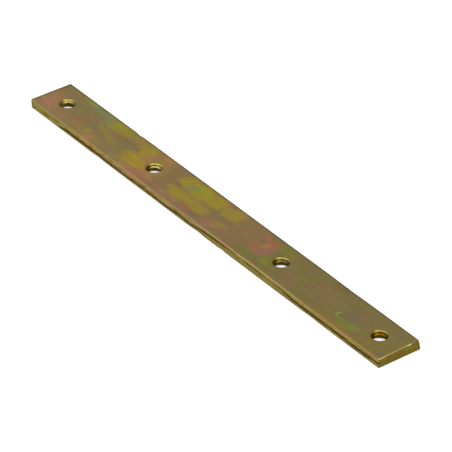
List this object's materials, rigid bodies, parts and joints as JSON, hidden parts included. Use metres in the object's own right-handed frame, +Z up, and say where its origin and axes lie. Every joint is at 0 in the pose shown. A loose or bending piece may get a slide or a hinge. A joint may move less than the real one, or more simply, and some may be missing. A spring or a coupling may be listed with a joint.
{
  "type": "mending plate",
  "caption": "Straight flat steel strip, yellow zinc plated, with countersunk screw holes in a row for joining two timbers end to end.",
  "frame": {"origin": "middle of the underside, on the plate's centre line", "axes": "+X along the length, +Y across the width, +Z up through the thickness, out of the upper face"},
  "size_m": [0.2, 0.018, 0.0034],
  "materials": {
    "yellow_zinc_steel": "satin yellow chromate over zinc plating, with faint rainbow patches"
  },
  "bodies": {
    "root": {"mending_plate": "yellow_zinc_steel"}
  },
  "joints": []
}
